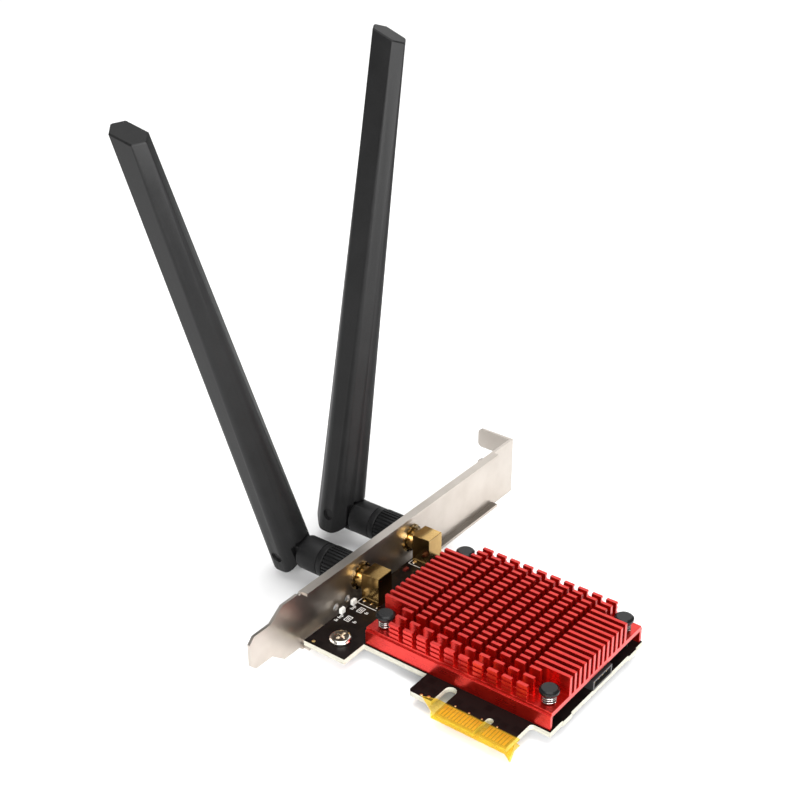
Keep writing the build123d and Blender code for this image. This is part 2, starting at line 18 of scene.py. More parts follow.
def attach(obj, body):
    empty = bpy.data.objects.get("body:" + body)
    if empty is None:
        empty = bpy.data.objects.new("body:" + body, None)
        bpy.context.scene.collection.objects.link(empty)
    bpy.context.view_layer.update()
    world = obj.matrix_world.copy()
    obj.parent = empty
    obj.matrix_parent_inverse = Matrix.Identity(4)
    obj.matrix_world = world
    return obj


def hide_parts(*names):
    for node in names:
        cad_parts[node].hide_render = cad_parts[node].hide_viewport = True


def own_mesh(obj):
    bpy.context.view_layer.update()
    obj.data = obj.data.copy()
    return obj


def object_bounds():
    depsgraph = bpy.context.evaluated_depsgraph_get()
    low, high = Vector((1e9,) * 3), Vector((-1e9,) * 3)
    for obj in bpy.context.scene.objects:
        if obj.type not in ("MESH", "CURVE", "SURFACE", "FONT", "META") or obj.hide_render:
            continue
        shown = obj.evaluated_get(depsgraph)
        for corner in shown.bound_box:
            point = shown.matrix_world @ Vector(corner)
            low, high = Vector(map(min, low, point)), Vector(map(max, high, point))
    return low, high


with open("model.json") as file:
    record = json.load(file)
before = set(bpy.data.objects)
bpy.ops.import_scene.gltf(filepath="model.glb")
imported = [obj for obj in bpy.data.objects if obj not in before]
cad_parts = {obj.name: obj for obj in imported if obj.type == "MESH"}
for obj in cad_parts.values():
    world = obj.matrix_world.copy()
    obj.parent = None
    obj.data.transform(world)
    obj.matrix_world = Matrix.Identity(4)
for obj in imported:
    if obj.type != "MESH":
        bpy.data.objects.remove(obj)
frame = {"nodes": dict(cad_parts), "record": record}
CAD_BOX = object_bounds()

MM = 0.001
LOG = logging.getLogger("card")
Colour = tuple[float, float, float]
Rows = tuple[tuple[float, ...], ...]


class Slot(str, Enum):
    """Material slots of the card's record."""

    BOARD = "board_black"
    CONTACT = "contact_gold"
    FILM = "film_amber"
    SINK = "sink_red"
    PIN = "pin_black"
    PLATED = "plated_steel"
    BRIGHT = "bright_steel"
    JACK = "jack_gold"
    AERIAL = "aerial_black"
    MODULE = "module_green"
    PAD = "pad_grey"
    HEADER = "header_black"
    LAMP = "lamp_white"
    CHIP = "chip_red"


class Corner(Enum):
    """Corners of the heat sink that hold a push pin, with their signs along X and Y."""

    NEAR_FRONT = (-1, -1)
    NEAR_BACK = (-1, 1)
    FAR_FRONT = (1, -1)
    FAR_BACK = (1, 1)

    @property
    def word(self) -> str:
        """The corner's name as the nodes and joints have it."""
        return self.name.lower()


# ---------------------------------------------------------------- shader tools


class Sock:
    """A shader value. Arithmetic on it adds Math nodes to its graph."""

    def __init__(self, graph: "Graph", socket: bpy.types.NodeSocket) -> None:
        """Keeps the graph and the output socket."""
        self.graph = graph
        self.socket = socket

    def math(self, operation: str, *values: "Sock | float") -> "Sock":
        """Adds one Math node on the given values, in their order."""
        return self.graph.make("ShaderNodeMath", {"operation": operation}, dict(enumerate(values)))

    def __add__(self, other: "Sock | float") -> "Sock":
        """Sum of two values."""
        return self.math("ADD", self, other)

    def __radd__(self, other: float) -> "Sock":
        """Sum with a number on the left."""
        return self.math("ADD", other, self)

    def __sub__(self, other: "Sock | float") -> "Sock":
        """Difference of two values."""
        return self.math("SUBTRACT", self, other)

    def __rsub__(self, other: float) -> "Sock":
        """Difference from a number on the left."""
        return self.math("SUBTRACT", other, self)

    def __mul__(self, other: "Sock | float") -> "Sock":
        """Product of two values."""
        return self.math("MULTIPLY", self, other)

    def __rmul__(self, other: float) -> "Sock":
        """Product with a number on the left."""
        return self.math("MULTIPLY", other, self)

    def __abs__(self) -> "Sock":
        """Size of the value without its sign."""
        return self.math("ABSOLUTE", self)

    def __gt__(self, edge: float) -> "Sock":
        """One where the value is above the edge, else zero."""
        return self.math("GREATER_THAN", self, edge)

    def __lt__(self, edge: float) -> "Sock":
        """One where the value is below the edge, else zero."""
        return self.math("LESS_THAN", self, edge)

    def ease(self, low: float, high: float) -> "Sock":
        """Smooth step from zero at low to one at high."""
        return self.graph.make("ShaderNodeMapRange", {"interpolation_type": "SMOOTHSTEP"},
                               {"Value": self, "From Min": low, "From Max": high})


class Graph:
    """Node tree of one material."""

    def __init__(self, name: str) -> None:
        """Starts an empty material of that name."""
        self.material = bpy.data.materials.new(name)
        self.material.use_nodes = True
        self.tree = self.material.node_tree
        self.tree.nodes.clear()

    def make(self, kind: str, settings: dict[str, Any] | None = None,
             sockets: dict[str | int, Any] | None = None, output: str | int = 0) -> Sock:
        """Adds any node.

        Args:
            kind: The node's type.
            settings: Properties set first.
            sockets: Values or links of its inputs, by name or number.
            output: Which output comes back.

        Returns:
            The chosen output as a Sock.
        """
        node = self.tree.nodes.new(kind)
        for key, value in (settings or {}).items():
            setattr(node, key, value)
        for key, value in (sockets or {}).items():
            if isinstance(value, Sock):
                self.tree.links.new(value.socket, node.inputs[key])
            elif isinstance(value, tuple) and len(value) == 3 and node.inputs[key].type == "RGBA":
                node.inputs[key].default_value = (*value, 1.0)
            else:
                node.inputs[key].default_value = value
        return Sock(self, node.outputs[output])

    def place(self) -> Sock:
        """Object coordinates in metres."""
        return self.make("ShaderNodeTexCoord", output="Object")

    def facing(self) -> Sock:
        """Surface normal in the object's own frame."""
        return self.make("ShaderNodeTexCoord", output="Normal")

    def split(self, vector: Sock) -> tuple[Sock, Sock, Sock]:
        """X, Y and Z of a vector."""
        first = self.make("ShaderNodeSeparateXYZ", None, {0: vector})
        outs = first.socket.node.outputs
        return first, Sock(self, outs[1]), Sock(self, outs[2])

    def stretch(self, vector: Sock, scale: Colour) -> Sock:
        """Vector scaled along each axis."""
        return self.make("ShaderNodeMapping", None, {"Vector": vector, "Scale": scale})

    def noise(self, vector: Sock, per_mm: float, detail: float = 2.0, rough: float = 0.5) -> Sock:
        """Soft noise, about per_mm blotches a millimetre."""
        return self.make("ShaderNodeTexNoise", None, {"Vector": vector, "Scale": per_mm / MM, "Detail": detail,
                                                      "Roughness": rough})

    def mix(self, factor: "Sock | float", first: "Sock | Colour", second: "Sock | Colour") -> Sock:
        """Colour between two colours."""
        return self.make("ShaderNodeMix", {"data_type": "RGBA"}, {0: factor, 6: first, 7: second}, 2)

    def bump(self, height: Sock, strength: float, depth_mm: float) -> Sock:
        """Normal bent by a height field."""
        return self.make("ShaderNodeBump", None,
                         {"Height": height, "Strength": strength, "Distance": depth_mm * MM})

    def principled(self, **sockets: Any) -> Sock:
        """One Principled shader, with underscores for the spaces in its inputs' names."""
        named = {key.replace("_", " "): value for key, value in sockets.items()}
        return self.make("ShaderNodeBsdfPrincipled", None, named)

    def close(self, shader: Sock) -> bpy.types.Material:
        """Links a shader to the material's output and gives the material back."""
        end = self.tree.nodes.new("ShaderNodeOutputMaterial")
        self.tree.links.new(shader.socket, end.inputs[0])
        return self.material

    def surface(self, **sockets: Any) -> bpy.types.Material:
        """Closes the graph with one Principled shader."""
        return self.close(self.principled(**sockets))


# ---------------------------------------------------------------- finishes


@dataclass(frozen=True)
class Anodised:
    """Dyed anodised aluminium: fine blasted grain, cloudy dye and drawn lines along X."""

    name: str
    deep: Colour
    light: Colour
    metal: float = 0.9
    rough: float = 0.28
    coat: float = 0.5

    def material(self) -> bpy.types.Material:
        """Builds the material.

        Returns:
            The new material.
        """
        g = Graph(self.name)
        p = g.place()
        cloud = g.noise(p, 0.25, 3.0)
        grain = g.noise(p, 9.0, 2.0)
        drawn = g.noise(g.stretch(p, (0.04, 1.0, 1.0)), 6.0, 2.0)
        tint = (0.55 * cloud + 0.25 * grain + 0.2 * drawn).ease(0.3, 0.7)
        return g.surface(Base_Color=g.mix(tint, self.deep, self.light), Metallic=self.metal,
                         Coat_Weight=self.coat, Coat_Roughness=0.25,
                         Roughness=self.rough + 0.08 * (cloud - 0.5) + 0.06 * (drawn - 0.5),
                         Normal=g.bump(grain + 0.6 * drawn, 0.1, 0.004))


@dataclass(frozen=True)
class MouldedPlastic:
    """Moulded plastic with spark-eroded grain."""

    name: str
    deep: Colour
    light: Colour
    rough: float = 0.5
    grain_per_mm: float = 4.0
    grain_depth: float = 0.02
    shine: float = 0.4

    def material(self) -> bpy.types.Material:
        """Builds the material.

        Returns:
            The new material.
        """
        g = Graph(self.name)
        p = g.place()
        cloud = g.noise(p, 0.12, 3.0)
        grain = g.noise(p, self.grain_per_mm, 3.0, 0.6)
        return g.surface(Base_Color=g.mix((0.5 * cloud + 0.5 * grain).ease(0.3, 0.7), self.deep, self.light),
                         Roughness=self.rough + 0.12 * (cloud - 0.5) + 0.12 * (grain - 0.5),
                         Specular_IOR_Level=self.shine, Normal=g.bump(grain, 0.5, self.grain_depth))


@dataclass(frozen=True)
class Plated:
    """Plated metal with faint polishing lines along one axis and smudges."""

    name: str
    deep: Colour
    light: Colour
    rough: float = 0.2
    lines: Colour = (1.0, 0.03, 1.0)
    line_depth: float = 0.004
    smear: float = 0.14

    def material(self) -> bpy.types.Material:
        """Builds the material.

        Returns:
            The new material.
        """
        g = Graph(self.name)
        p = g.place()
        smudge = g.noise(p, 0.09, 4.0, 0.55)
        line = g.noise(g.stretch(p, self.lines), 5.0, 3.0)
        return g.surface(Base_Color=g.mix(smudge.ease(0.3, 0.7), self.deep, self.light), Metallic=1.0,
                         Roughness=self.rough + self.smear * (smudge - 0.45) + 0.03 * (line - 0.5),
                         Normal=g.bump(line, 0.2, self.line_depth))


@dataclass(frozen=True)
class SolderMask:
    """Black solder mask over copper, with bare laminate on cut edges and round the edge contacts."""

    name: str = "board_black"
    mask: Colour = (0.0045, 0.003, 0.0028)
    copper: Colour = (0.0075, 0.005, 0.0045)
    bare: Colour = (0.3, 0.235, 0.12)
    laminate: Colour = (0.33, 0.32, 0.265)
    fibre: Colour = (0.45, 0.44, 0.38)
    window: tuple[float, float, float] = (-12.6, 8.6, 4.6)

    def material(self) -> bpy.types.Material:
        """Builds the material.

        Returns:
            The new material.
        """
        g = Graph(self.name)
        p = g.place()
        x, y, _ = g.split(p)
        pour = g.make("ShaderNodeTexVoronoi", {"distance": "CHEBYCHEV", "feature": "F1"},
                      {"Vector": p, "Scale": 0.32 / MM, "Randomness": 0.85})
        copper = pour.ease(0.33, 0.36)
        cloud = g.noise(p, 0.2, 3.0)
        layers = g.noise(g.stretch(p, (0.3, 0.3, 6.0)), 1.6, 3.0)
        top = abs(g.split(g.facing())[2]).ease(0.45, 0.6)
        left, right, back = (value * MM for value in self.window)
        bare = (x > left) * (x < right) * (y < back)
        cover = top * (1 - bare)
        glass = g.mix(top * bare, g.mix(layers.ease(0.35, 0.65), self.laminate, self.fibre), self.bare)
        paint = g.mix(copper * 0.8 + 0.3 * (cloud - 0.5), self.mask, self.copper)
        return g.surface(Base_Color=g.mix(cover, glass, paint),
                         Roughness=0.62 - 0.26 * cover + 0.16 * (cloud - 0.5), Specular_IOR_Level=0.08,
                         Normal=g.bump(copper * cover + 0.4 * layers * (1 - cover), 0.3, 0.03))


@dataclass(frozen=True)
class AmberFilm:
    """Clear amber tape: a filter that tints what lies under it, with a glossy skin on creases and cut edges;
    along the left cut edge the skin is partly glue and partly a painted highlight of the edge.
    """

    name: str = "film_amber"
    filter: Colour = (0.985, 0.9, 0.48)
    skin: Colour = (0.85, 0.6, 0.1)
    deep: Colour = (0.6, 0.36, 0.04)
    veil: float = 0.06
    streaks: float = 0.14
    # share of skin in the rim band: partly glue, partly painted highlight of the cut edge
    edge: float = 0.5

    def material(self) -> bpy.types.Material:
        """Builds the material.

        Returns:
            The new material.
        """
        g = Graph(self.name)
        p = g.place()
        crease = g.noise(g.stretch(p, (0.5, 1.0, 1.0)), 0.5, 2.0)
        glue = g.noise(p, 1.2, 3.0)
        tint = (0.6 * crease + 0.4 * glue).ease(0.42, 0.72)
        skin = g.principled(Base_Color=g.mix(tint, self.skin, self.deep), Roughness=0.1 + 0.12 * glue, IOR=1.45,
                            Normal=g.bump(crease, 0.3, 0.1))
        sheet = g.make("ShaderNodeBsdfTransparent", None, {"Color": self.filter})
        # Rim band at the film's left cut edge: more of the opaque skin, partly glue and partly a painted
        # highlight of the edge.
        rim = g.make("ShaderNodeAttribute", {"attribute_name": "rim"}, output="Fac")
        cover = self.veil + self.streaks * tint + self.edge * rim
        return g.close(g.make("ShaderNodeMixShader", None, {0: cover, 1: sheet, 2: skin}))


@dataclass(frozen=True)
class PrintedInk:
    """White legend ink, a little thin at its edges."""

    name: str = "legend_white"
    ink: Colour = (0.95, 0.95, 0.93)
    thin: Colour = (0.6, 0.59, 0.57)

    def material(self) -> bpy.types.Material:
        """Builds the material.

        Returns:
            The new material.
        """
        g = Graph(self.name)
        wear = g.noise(g.place(), 5.0, 3.0, 0.6)
        return g.surface(Base_Color=g.mix(wear.ease(0.52, 0.75), self.ink, self.thin),
                         Roughness=0.55 + 0.2 * (wear - 0.5), Normal=g.bump(wear, 0.3, 0.01))


def make_finishes() -> dict[Slot, bpy.types.Material]:
    """Builds one material for each slot of the record.

    Returns:
        Materials by slot.
    """
    finishes: dict[Slot, Any] = {
        Slot.BOARD: SolderMask(),
        Slot.CONTACT: Plated("contact_gold", (0.78, 0.55, 0.22), (0.92, 0.68, 0.3), 0.3, (1.0, 0.05, 1.0),
                             smear=0.06),
        Slot.FILM: AmberFilm(),
        Slot.SINK: Anodised("sink_red", (0.5, 0.0045, 0.002), (0.6, 0.016, 0.007)),
        Slot.PIN: MouldedPlastic("pin_black", (0.003, 0.003, 0.0031), (0.007, 0.007, 0.0072), 0.24, 3.0,
                                 shine=0.28),
        Slot.PLATED: Plated("plated_steel", (0.475, 0.43, 0.385), (0.545, 0.5, 0.455), 0.31,
                            line_depth=0.0004, smear=0.05),
        Slot.BRIGHT: Plated("bright_steel", (0.48, 0.44, 0.39), (0.66, 0.62, 0.56), 0.14, (1.0, 1.0, 0.1)),
        Slot.JACK: Plated("jack_gold", (0.45, 0.285, 0.1), (0.64, 0.43, 0.165), 0.17, (1.0, 1.0, 0.06)),
        Slot.AERIAL: MouldedPlastic("aerial_black", (0.0036, 0.0036, 0.0037), (0.007, 0.007, 0.0072), 0.46,
                                    2.6, 0.04, 0.2),
        Slot.MODULE: MouldedPlastic("module_green", (0.01, 0.07, 0.035), (0.02, 0.12, 0.06), 0.4),
        Slot.PAD: MouldedPlastic("pad_grey", (0.2, 0.21, 0.23), (0.3, 0.31, 0.33), 0.8, 1.5, 0.05),
        Slot.HEADER: MouldedPlastic("header_black", (0.008, 0.008, 0.008), (0.018, 0.018, 0.018), 0.36, 5.0,
                                    0.01, 0.5),
        Slot.LAMP: MouldedPlastic("lamp_white", (0.6, 0.6, 0.57), (0.8, 0.8, 0.77), 0.3, 1.0, 0.01),
        Slot.CHIP: MouldedPlastic("chip_red", (0.07, 0.006, 0.006), (0.13, 0.012, 0.01), 0.3, 2.0, 0.02),
    }
    return {slot: finish.material() for slot, finish in finishes.items()}


# ---------------------------------------------------------------- mesh tools


def surface(name: str, points: np.ndarray, around: bool = False, caps: bool = False) -> bpy.types.Object:
    """Makes an object from a grid of points.

    Each point of row i and column j is joined to its neighbours i + 1 and j + 1, so the grid becomes quads.

    Args:
        name: The object's name.
        points: Array of rows by columns by three, in millimetres.
        around: True if the last column joins the first.
        caps: True if the first and last rows are closed by one face each.

    Returns:
        The new object, with smooth shading.
    """
    rows, columns = points.shape[:2]
    number = np.arange(rows * columns).reshape(rows, columns)
    grid = np.concatenate([number, number[:, :1]], 1) if around else number
    quads = np.stack([grid[:-1, :-1], grid[:-1, 1:], grid[1:, 1:], grid[1:, :-1]], -1).reshape(-1, 4)
    faces = quads.tolist()
    if caps:
        faces += [number[0, ::-1].tolist(), number[-1].tolist()]
    return add_mesh(name, points.reshape(-1, 3), faces)


def add_mesh(name: str, points: np.ndarray, faces: list[list[int]], smooth: bool = True) -> bpy.types.Object:
    """Puts points and faces into a new object at the origin.

    Args:
        name: The object's name.
        points: Rows of three, in millimetres.
        faces: Point numbers of each face.
        smooth: True for smooth shading.

    Returns:
        The new object.
    """
    mesh = bpy.data.meshes.new(name)
    mesh.from_pydata((points * MM).tolist(), [], faces)
    mesh.update()
    mesh.polygons.foreach_set("use_smooth", np.full(len(mesh.polygons), smooth))
    made = bpy.data.objects.new(name, mesh)
    bpy.context.scene.collection.objects.link(made)
    return made


def slabs(name: str, boxes: Sequence[Sequence[float]]) -> bpy.types.Object:
    """Makes thin upright boxes as one mesh.

    The eight corners of a box are its centre plus its half sizes times every pair of signs, turned about Z.

    Args:
        name: The object's name.
        boxes: Rows of centre x, centre y, low z, length, width, height and turn in degrees.

    Returns:
        The new object, flat shaded.
    """
    x, y, z, length, width, height, turn = np.array(boxes, float).T[:, :, None]
    sign_x = np.array([-1, 1, 1, -1, -1, 1, 1, -1]) / 2
    sign_y = np.array([-1, -1, 1, 1, -1, -1, 1, 1]) / 2
    level = np.array([0, 0, 0, 0, 1, 1, 1, 1])
    a = np.radians(turn)
    along, across = sign_x * length, sign_y * width
    points = np.stack([x + along * np.cos(a) - across * np.sin(a), y + along * np.sin(a) + across * np.cos(a),
                       z + level * height], -1)
    box = np.array([[0, 3, 2, 1], [4, 5, 6, 7], [0, 1, 5, 4], [1, 2, 6, 5], [2, 3, 7, 6], [3, 0, 4, 7]])
    faces = (box[None] + 8 * np.arange(len(boxes))[:, None, None]).reshape(-1, 4)
    return add_mesh(name, points.reshape(-1, 3), faces.tolist(), False)


def tube(name: str, path: np.ndarray, side: np.ndarray, radius: float, sides: int = 12) -> bpy.types.Object:
    """Carries a circle along a path.

    A point is the path's point plus the radius times cos(a) along side and sin(a) along the binormal, which is
    the tangent crossed with side.

    Args:
        name: The object's name.
        path: Points of the path, in millimetres.
        side: Unit vectors square to the path.
        radius: Radius of the circle.
        sides: Points round the circle.

    Returns:
        The new object, closed at both ends.
    """
    tangent = np.gradient(path, axis=0)
    tangent /= np.linalg.norm(tangent, axis=1, keepdims=True)
    binormal = np.cross(tangent, side)
    a = np.linspace(0, 2 * math.pi, sides, endpoint=False)[None, :, None]
    ring = np.cos(a) * side[:, None] + np.sin(a) * binormal[:, None]
    return surface(name, path[:, None] + radius * ring, True, True)


def soften(node: bpy.types.Object, width: float, segments: int = 2, angle: float = 28.0) -> None:
    """Welds a CAD node's triangles and rounds its edges with live modifiers.

    Args:
        node: The CAD node.
        width: Width of the rounded edge, in millimetres.
        segments: Steps across the edge.
        angle: Edges sharper than this are rounded, in degrees.
    """
    weld = node.modifiers.new("weld", "WELD")
    weld.merge_threshold = 1e-6
    bevel = node.modifiers.new("edges", "BEVEL")
    bevel.width = width * MM
    bevel.segments = segments
    bevel.limit_method = "ANGLE"
    bevel.angle_limit = math.radians(angle)
    bevel.use_clamp_overlap = True
    bevel.harden_normals = False


# ---------------------------------------------------------------- sub-assemblies


@dataclass
class Dresser:
    """Gives nodes and new pieces their finish."""

    finishes: dict[Slot, bpy.types.Material]
    ink: bpy.types.Material
    # darker steel of the coils: painted shade and painted dark reflection
    spring: bpy.types.Material
    # darkened gold of the jack washers: gold plating with painted shade
    washer: bpy.types.Material

    def nodes(self) -> None:
        """Puts each CAD node's finish on it, by the record's slot."""
        for row in frame["record"]["subparts"]:
            node = frame["nodes"][row["node"]]
            node.data.materials.clear()
            # The jack washers take the darkened gold: gold plating with painted shade between jack body and
            # bracket.
            own = self.washer if row["node"] == "jack_washers" else self.finishes[Slot(row["material_slot"])]
            node.data.materials.append(own)
            LOG.info("node %s has finish %s", row["node"], row["material_slot"])

    def piece(self, made: bpy.types.Object, slot: Slot, body: str, *replaced: str,
              finish: bpy.types.Material | None = None) -> bpy.types.Object:
        """Gives a new piece its finish and body, and hides the CAD nodes that it stands for.

        Args:
            made: The new piece.
            slot: The record's slot of its finish.
            body: The body that it rides on.
            replaced: CAD nodes that it stands for.
            finish: A finish of its own instead of the slot's.

        Returns:
            The same piece.
        """
        made.data.materials.append(finish or self.finishes[slot])
        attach(made, body)
        if replaced:
            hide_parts(*replaced)
        LOG.info("piece %s rides on %s", made.name, body)
        return made


@dataclass
class PinSpring:
    """Coil spring between the heat sink's base and a push pin's head."""

    corner: Corner
    span: tuple[float, float] = (50.3, 36.1)
    middle: tuple[float, float] = (-14.52, 33.65)
    radius: float = 1.72
    wire: float = 0.23
    low: float = 5.22
    high: float = 7.3
    turns: float = 3.25
    press: float = 1.0
    steps: int = 160

    def build(self, dresser: Dresser) -> None:
        """Winds the spring: even turns, with a height that eases at both ends so that the end turns lie flat.

        Args:
            dresser: Gives the spring its finish and body.
        """
        t = np.linspace(0, 1, self.steps)
        a = 2 * math.pi * self.turns * t
        rise = self.high - self.low - 2 * self.wire
        ease = t * t * (3 - 2 * t)
        centre = np.array(self.middle) + np.array(self.corner.value) * np.array(self.span) / 2
        side = np.stack([np.cos(a), np.sin(a), 0 * a], 1)
        path = self.radius * side
        path += np.stack([0 * t + centre[0], 0 * t + centre[1], self.low + self.wire + rise * ease], 1)
        made = tube(f"coil_{self.corner.word}", path, side, self.wire)
        # The coil takes the darker spring steel instead of its slot's bright steel: painted shade and painted
        # dark reflection.
        dresser.piece(made, Slot.BRIGHT, "card", f"pin_spring_{self.corner.word}", finish=dresser.spring)
        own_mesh(made)


@dataclass
class ContactFilm:
    """Amber film folded round the edge contacts, with a pointed flap and a crumpled free end."""

    back: float = 4.75
    top: float = 0.09
    under: float = -1.68
    lip: float = 0.75
    tip: tuple[float, float] = (-18.9, 3.3)
    fold_left: float = -13.6
    tongue_left: float = -12.6
    right: float = 9.6
    tongue_right: float = 8.6
    thick: float = 0.06
    rim: float = 0.5
    top_end: float = 0.42
    under_start: float = 0.58
    flap_back: float = 2.4
    bow: float = 0.4
    sag_flat: float = 0.35
    sag_fold: float = 0.5
    sag_depth: float = 0.9
    crumple: float = 2.2
    splay: tuple[float, float] = (1.3, 1.1)
    long_wave: Colour = (0.03, 1.9, 0.8)
    short_wave: Colour = (0.02, 4.3, -1.7)
    lift: float = 0.03
    rows: int = 70
    columns: int = 140

    def build(self, dresser: Dresser) -> None:
        """Folds the film: a straight top, a half ellipse round the leading edge and a straight underside.

        Along the card the film runs from its left outline to its right one. Past the tongue's end it sinks and
        spreads, and a few sine waves crease it. The attribute rim falls from one at the left cut edge to zero.

        Args:
            dresser: Gives the film its finish and body.
        """
        s = np.linspace(0, 1, self.rows)
        t = np.linspace(0, 1, self.columns)
        half = (self.top - self.under) / 2
        mid = (self.top + self.under) / 2
        turn = np.clip((s - self.top_end) / (self.under_start - self.top_end), 0, 1) * math.pi
        flat_top = self.back * np.clip(1 - s / self.top_end, 0, 1)
        flat_under = self.back * np.clip((s - self.under_start) / (1 - self.under_start), 0, 1)
        y = flat_top + flat_under - self.lip * np.sin(turn)
        z = mid + half * np.cos(turn)
        flap = [self.fold_left, self.tip[0], self.tongue_left - self.flap_back]
        left_top = np.interp(flat_top, [0, self.tip[1], self.back], flap)
        left = np.where(s < self.top_end, left_top, self.fold_left + self.bow * np.sin(turn))
        x = left[:, None] + (self.right - left)[:, None] * t[None]
        past = np.clip((x - self.tongue_right) / (self.right - self.tongue_right), 0, 1)
        sink = past * past * (self.sag_flat + self.sag_fold * np.sin(turn)[:, None])
        front = np.clip(1 - y / self.crumple, 0, 1)[:, None]
        ripple = sum(high * np.sin(along * x + across * y[:, None])
                     for high, along, across in (self.long_wave, self.short_wave))
        outward = np.cos(turn)[:, None]
        points = np.stack([
            x + self.splay[0] * past * front,
            y[:, None] - self.splay[1] * past * front + 0 * x,
            z[:, None] - sink * self.sag_depth + (ripple + self.lift) * outward,
        ], -1)
        made = surface("amber_film", points)
        # Rim band along the left cut edge: partly glue and partly a painted highlight of the edge.
        cut = np.clip(1 - (x - left[:, None]) / self.rim, 0, 1).ravel().astype(np.float32)
        made.data.attributes.new("rim", "FLOAT", "POINT").data.foreach_set("value", cut)
        shell = made.modifiers.new("thickness", "SOLIDIFY")
        shell.thickness = self.thick * MM
        shell.offset = 0.0
        dresser.piece(made, Slot.FILM, "card", "contact_film")


@dataclass
class BoardMarks:
    """Legend bars, solder joints and plated holes on the board's component face."""

    ink_high: float = 0.02
    ink_line: float = 0.14
    corner_left: float = -56.6
    corner_rise: float = 2.2
    corners: Rows = ((24.6, 6.6), (48.0, 4.1))
    frames: Rows = ((-53.8, 17.35), (-53.45, 22.35))
    frame_wide: float = 1.5
    frame_tall: float = 2.1
    bar_tall: float = 1.2
    strokes: tuple[tuple[float, float, int], ...] = ((-56.2, 16.2, 4), (-55.9, 21.3, 4), (-51.5, 16.9, 2),
                                                     (-51.4, 21.9, 2), (-56.1, 14.7, 2))
    stroke_long: float = 1.0
    stroke_less: float = 0.3
    stroke_wide: float = 0.17
    stroke_step: float = 0.5
    stroke_shift: float = 0.1
    solder: Rows = ((-55.4, 26.1, 0.45, 0.16), (-52.95, 26.0, 0.26, 0.1), (-50.7, 25.7, 0.32, 0.14),
                    (-55.55, 49.0, 0.45, 0.16), (-50.7, 48.8, 0.32, 0.14))
    plated: Rows = ((-55.0, 4.3, 0.5, 0.05), (-19.3, 3.75, 0.42, 0.06), (-17.4, 4.2, 0.5, 0.06),
                    (-9.95, 5.3, 0.28, 0.04), (-5.8, 5.25, 0.28, 0.04), (-1.95, 5.3, 0.28, 0.04),
                    (2.65, 5.15, 0.28, 0.04))
    rings: int = 8
    sides: int = 20

    def legend(self, dresser: Dresser) -> None:
        """Lays plain legend marks: corners by the jacks, two small frames, and short strokes beside them.

        Args:
            dresser: Holds the ink.
        """
        high, thin, bars = self.ink_high, self.ink_line, []
        for y, long in self.corners:
            bars += [(self.corner_left + long / 2, y, 0, long, thin, high, 0),
                     (self.corner_left, y + self.corner_rise / 2, 0, thin, self.corner_rise, high, 0)]
        for x, y in self.frames:
            for half in (-0.5, 0.5):
                bars += [(x + self.frame_wide * half, y, 0, thin, self.frame_tall, high, 0),
                         (x, y + self.frame_tall * half, 0, self.frame_wide + thin, thin, high, 0),
                         (x + self.frame_wide * half / 3, y, 0, thin, self.bar_tall, high, 0)]
        for x, y, count in self.strokes:
            for k in range(count):
                long = self.stroke_long - self.stroke_less * (k % 2)
                bars.append((x + self.stroke_shift * (k % 3), y + self.stroke_step * k, 0,
                             long, self.stroke_wide, high, 0))
        made = slabs("legend_bars", bars)
        made.data.materials.append(dresser.ink)
        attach(made, "card")
        LOG.info("piece %s rides on card", made.name)

    def domes(self, name: str, dots: Rows, slot: Slot, dresser: Dresser) -> None:
        """Raises round solder or plated dots: height falls as one minus the radius to the third power.

        Args:
            name: The piece's name.
            dots: Rows of x, y, radius and height.
            slot: The record's slot of the finish.
            dresser: Gives the piece its finish and body.
        """
        r = np.linspace(0.02, 1, self.rings)[None, :, None]
        a = np.linspace(0, 2 * math.pi, self.sides, endpoint=False)[None, None, :]
        x, y, size, high = np.array(dots, float).T[:, :, None, None]
        points = np.stack([x + size * r * np.cos(a), y + size * r * np.sin(a), high * (1 - r ** 3) + 0 * a], -1)
        count, rings, steps = points.shape[:3]
        number = np.arange(count * rings * steps).reshape(count, rings, steps)
        around = np.concatenate([number, number[:, :, :1]], 2)
        quads = np.stack([around[:, :-1, :-1], around[:, 1:, :-1], around[:, 1:, 1:], around[:, :-1, 1:]], -1)
        faces = quads.reshape(-1, 4).tolist() + number[:, 0].tolist() + number[:, -1, ::-1].tolist()
        dresser.piece(add_mesh(name, points.reshape(-1, 3), faces), slot, "card")

    def build(self, dresser: Dresser) -> None:
        """Makes all marks of the component face.

        Args:
            dresser: Gives the marks their finish and body.
        """
        self.legend(dresser)
        self.domes("solder_joints", self.solder, Slot.BRIGHT, dresser)
        self.domes("plated_dots", self.plated, Slot.CONTACT, dresser)


@dataclass
class EdgeWork:
    """Small rounded edges on the rigid pieces, so that they catch the light."""

    fine: float = 0.06
    medium: float = 0.12
    broad: float = 0.25

    def build(self) -> None:
        """Rounds the edges of the heat sink, bracket, jacks, pins and aerials."""
        widths = {"heat_sink": self.medium, "bracket": self.medium, "bracket_screw": self.medium,
                  "jack_left": self.medium, "jack_right": self.medium, "jack_nuts": self.medium,
                  "jack_washers": self.fine, "header_housing": self.fine, "circuit_board": self.fine}
        for side in ("left", "right"):
            widths.update({f"coupling_nut_{side}": self.fine, f"hinge_base_{side}": self.broad,
                           f"blade_{side}": self.broad, f"hinge_pin_{side}": self.fine})
        for corner in Corner:
            widths[f"push_pin_{corner.word}"] = self.medium
        for name, width in widths.items():
            soften(frame["nodes"][name], width)


